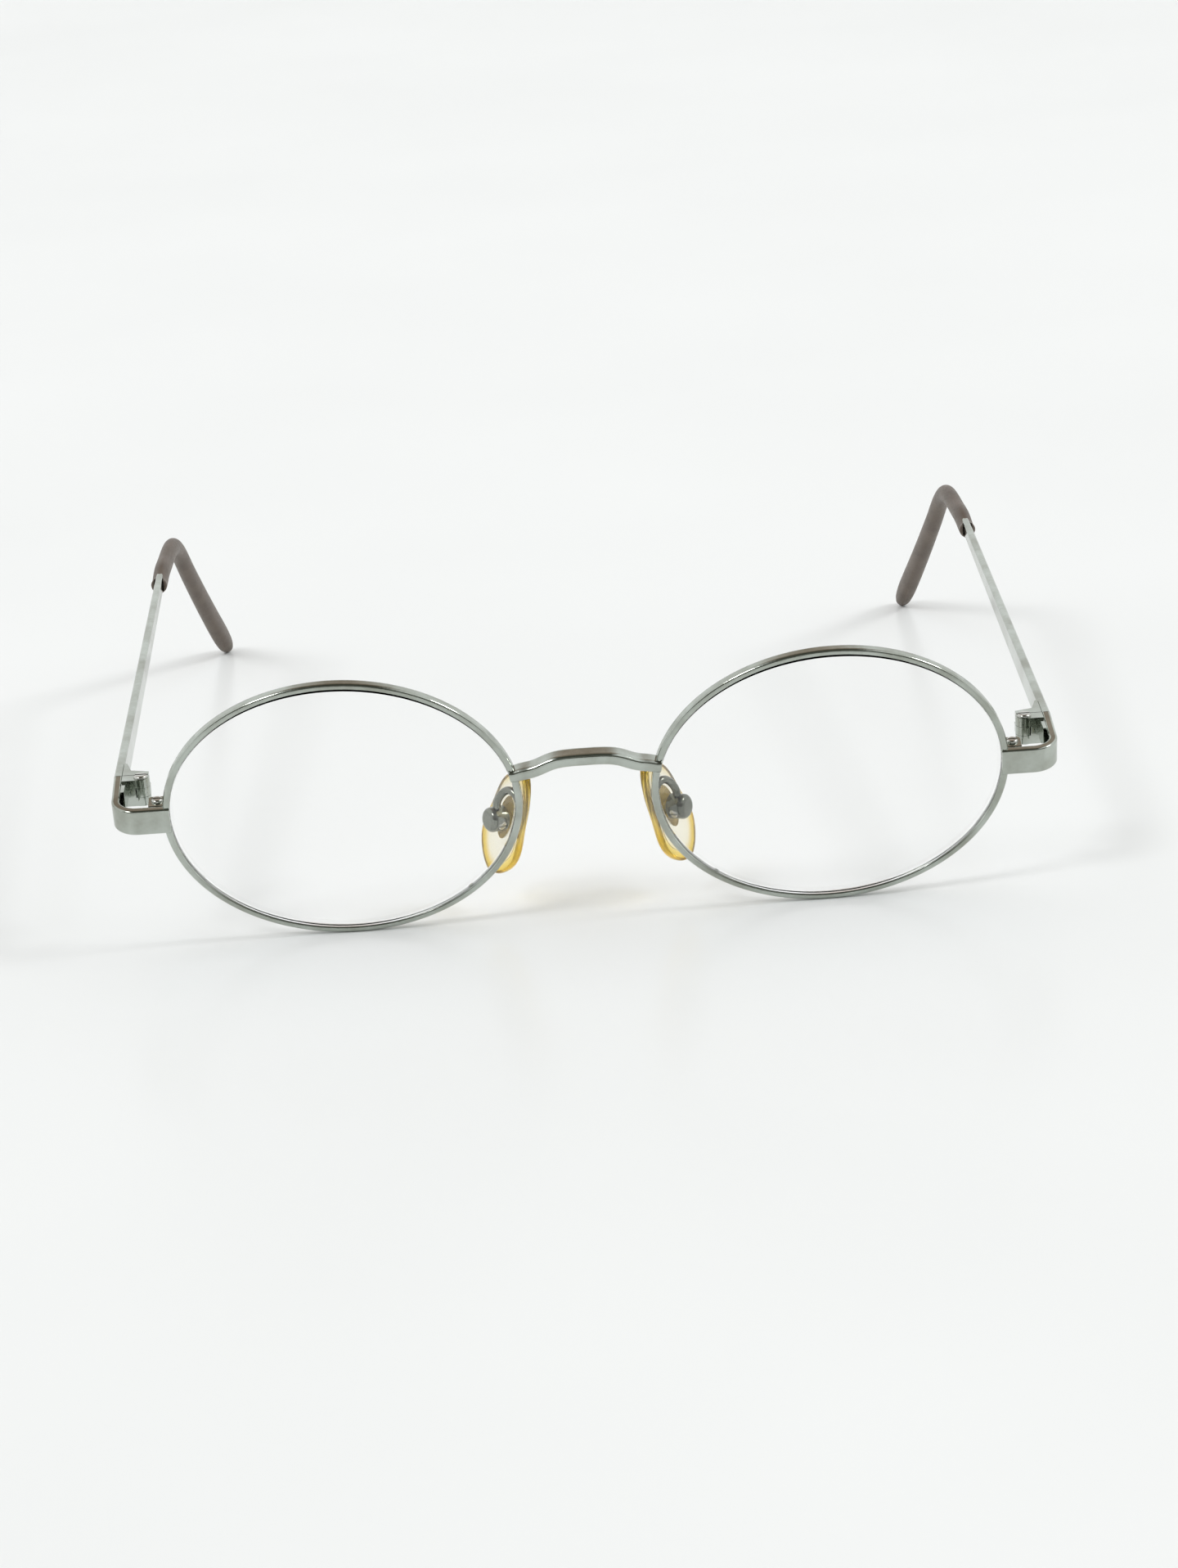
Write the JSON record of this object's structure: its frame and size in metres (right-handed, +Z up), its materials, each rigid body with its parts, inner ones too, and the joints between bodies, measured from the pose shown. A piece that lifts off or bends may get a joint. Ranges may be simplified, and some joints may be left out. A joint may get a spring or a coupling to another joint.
{
  "type": "oval eyeglasses",
  "caption": "Full-rim metal eyeglasses with oval clear lenses, a curved bridge, rocking nose pads on wire arms, and folding temples with bent plastic tips.",
  "frame": {"origin": "on the table under the middle of the whole length and width, with the glasses open and standing on the rims and the ends of the temple tips", "axes": "+X to the wearer's left, the front faces -Y, the temples run back along +Y, +Z up"},
  "size_m": [0.1302, 0.1448, 0.039],
  "materials": {
    "frame_metal": "polished silver-grey plating",
    "screw_steel": "bright",
    "lens_clear": "clear",
    "tip_plastic": "satin brown-grey",
    "pad_clear": "clear, yellowed",
    "pad_insert": "amber"
  },
  "bodies": {
    "front": {"bridge": "frame_metal", "rim_left": "frame_metal", "closing_block_upper_left": "frame_metal", "closing_block_lower_left": "frame_metal", "rim_screw_left": "screw_steel", "lens_left": "lens_clear", "endpiece_left": "frame_metal", "hinge_front_left": "frame_metal", "hinge_screw_left": "screw_steel", "pad_arm_left": "frame_metal", "pad_box_left": "frame_metal", "pad_screw_left": "screw_steel", "rim_right": "frame_metal", "closing_block_upper_right": "frame_metal", "closing_block_lower_right": "frame_metal", "rim_screw_right": "screw_steel", "lens_right": "lens_clear", "endpiece_right": "frame_metal", "hinge_front_right": "frame_metal", "hinge_screw_right": "screw_steel", "pad_arm_right": "frame_metal", "pad_box_right": "frame_metal", "pad_screw_right": "screw_steel"},
    "temple_left": {"temple_left": "frame_metal", "temple_tip_left": "tip_plastic", "hinge_rear_left": "frame_metal"},
    "temple_right": {"temple_right": "frame_metal", "temple_tip_right": "tip_plastic", "hinge_rear_right": "frame_metal"},
    "nose_pad_left": {"nose_pad_left": "pad_clear", "pad_core_left": "pad_insert"},
    "nose_pad_right": {"nose_pad_right": "pad_clear", "pad_core_right": "pad_insert"}
  },
  "joints": [
    {"name": "temple_left_fold", "type": "hinge", "parent": "front", "child": "temple_left", "pos_m": [0.0613, -0.05981, 0.02142], "axis": [0, -0.0698, 0.9976], "range_deg": [0, 90]},
    {"name": "temple_right_fold", "type": "hinge", "parent": "front", "child": "temple_right", "pos_m": [-0.0613, -0.05981, 0.02142], "axis": [0, 0.0698, -0.9976], "range_deg": [0, 84]},
    {"name": "nose_pad_left_rock", "type": "hinge", "parent": "front", "child": "nose_pad_left", "pos_m": [0.01265, -0.06235, 0.01477], "axis": [-0.4782, -0.7827, -0.3985], "range_deg": [-6, 10]},
    {"name": "nose_pad_right_rock", "type": "hinge", "parent": "front", "child": "nose_pad_right", "pos_m": [-0.01265, -0.06235, 0.01477], "axis": [-0.4782, 0.7827, 0.3985], "range_deg": [-6, 10]}
  ]
}
